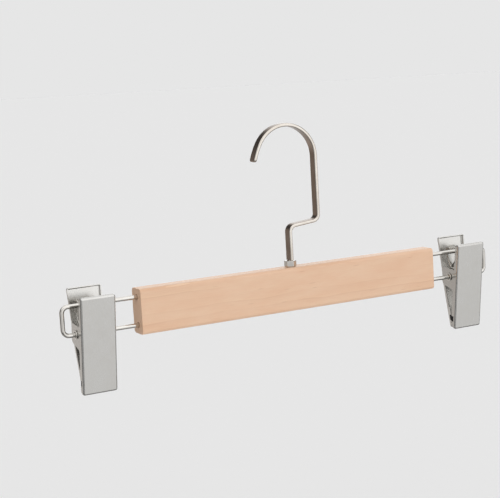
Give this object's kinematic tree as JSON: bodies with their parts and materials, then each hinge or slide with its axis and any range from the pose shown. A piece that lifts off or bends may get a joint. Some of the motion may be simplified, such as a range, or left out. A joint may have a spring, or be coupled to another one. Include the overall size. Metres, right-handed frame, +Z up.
{
  "type": "clip hanger",
  "caption": "Trouser and skirt hanger: wooden bar, swivel hook of flattened wire, and a sprung sheet-metal clip sliding on a wire loop at each end.",
  "frame": {"origin": "where the rail bears on the hook: the top of the inside of its crown, over the swivel axis", "axes": "+X along the bar, +Z up along the swivel axis, front at -Y"},
  "size_m": [0.338, 0.0262, 0.1622],
  "materials": {
    "wood": "pale beech, clear satin lacquer",
    "hook_steel": "satin nickel plate",
    "bright_wire": "bright nickel plate",
    "plate_steel": "satin nickel plate",
    "spring_steel": "plated spring wire",
    "pad_rubber": "matt black rubber, ribbed"
  },
  "bodies": {
    "hook": {"hook": "hook_steel"},
    "bar": {"wooden_bar": "wood", "hook_nut": "hook_steel", "hook_washer": "hook_steel", "left_wire_loop": "bright_wire", "right_wire_loop": "bright_wire"},
    "left_slider": {"left_outer_eyelet": "bright_wire", "left_inner_eyelet": "bright_wire", "left_spring": "spring_steel"},
    "left_front_jaw": {"left_front_jaw": "plate_steel", "left_front_pad": "pad_rubber"},
    "left_back_jaw": {"left_back_jaw": "plate_steel", "left_back_pad": "pad_rubber"},
    "right_slider": {"right_outer_eyelet": "bright_wire", "right_inner_eyelet": "bright_wire", "right_spring": "spring_steel"},
    "right_front_jaw": {"right_front_jaw": "plate_steel", "right_front_pad": "pad_rubber"},
    "right_back_jaw": {"right_back_jaw": "plate_steel", "right_back_pad": "pad_rubber"}
  },
  "joints": [
    {"name": "hook_swivel", "type": "hinge", "parent": "hook", "child": "bar", "pos_m": [0, 0, -0.0962], "axis": [0, 0, 1], "continuous": true},
    {"name": "left_clip_slide", "type": "slide", "parent": "bar", "child": "left_slider", "axis": [-1, 0, 0], "range_m": [-0.0178, 0.0034]},
    {"name": "left_front_jaw_hinge", "type": "hinge", "parent": "left_slider", "child": "left_front_jaw", "pos_m": [-0.147, 0, -0.12045], "axis": [-1, 0, 0], "range_deg": [0, 13], "stiffness_Nm_per_rad": 1, "springref_deg": -8.59, "deforming": ["left_spring"]},
    {"name": "left_back_jaw_hinge", "type": "hinge", "parent": "left_slider", "child": "left_back_jaw", "pos_m": [-0.147, 0, -0.12045], "axis": [1, 0, 0], "range_deg": [0, 13], "stiffness_Nm_per_rad": 1, "springref_deg": -8.59, "deforming": ["left_spring"]},
    {"name": "right_clip_slide", "type": "slide", "parent": "bar", "child": "right_slider", "axis": [1, 0, 0], "range_m": [-0.0178, 0.0034]},
    {"name": "right_front_jaw_hinge", "type": "hinge", "parent": "right_slider", "child": "right_front_jaw", "pos_m": [0.147, 0, -0.12045], "axis": [-1, 0, 0], "range_deg": [0, 13], "stiffness_Nm_per_rad": 1, "springref_deg": -8.59, "deforming": ["right_spring"]},
    {"name": "right_back_jaw_hinge", "type": "hinge", "parent": "right_slider", "child": "right_back_jaw", "pos_m": [0.147, 0, -0.12045], "axis": [1, 0, 0], "range_deg": [0, 13], "stiffness_Nm_per_rad": 1, "springref_deg": -8.59, "deforming": ["right_spring"]}
  ]
}
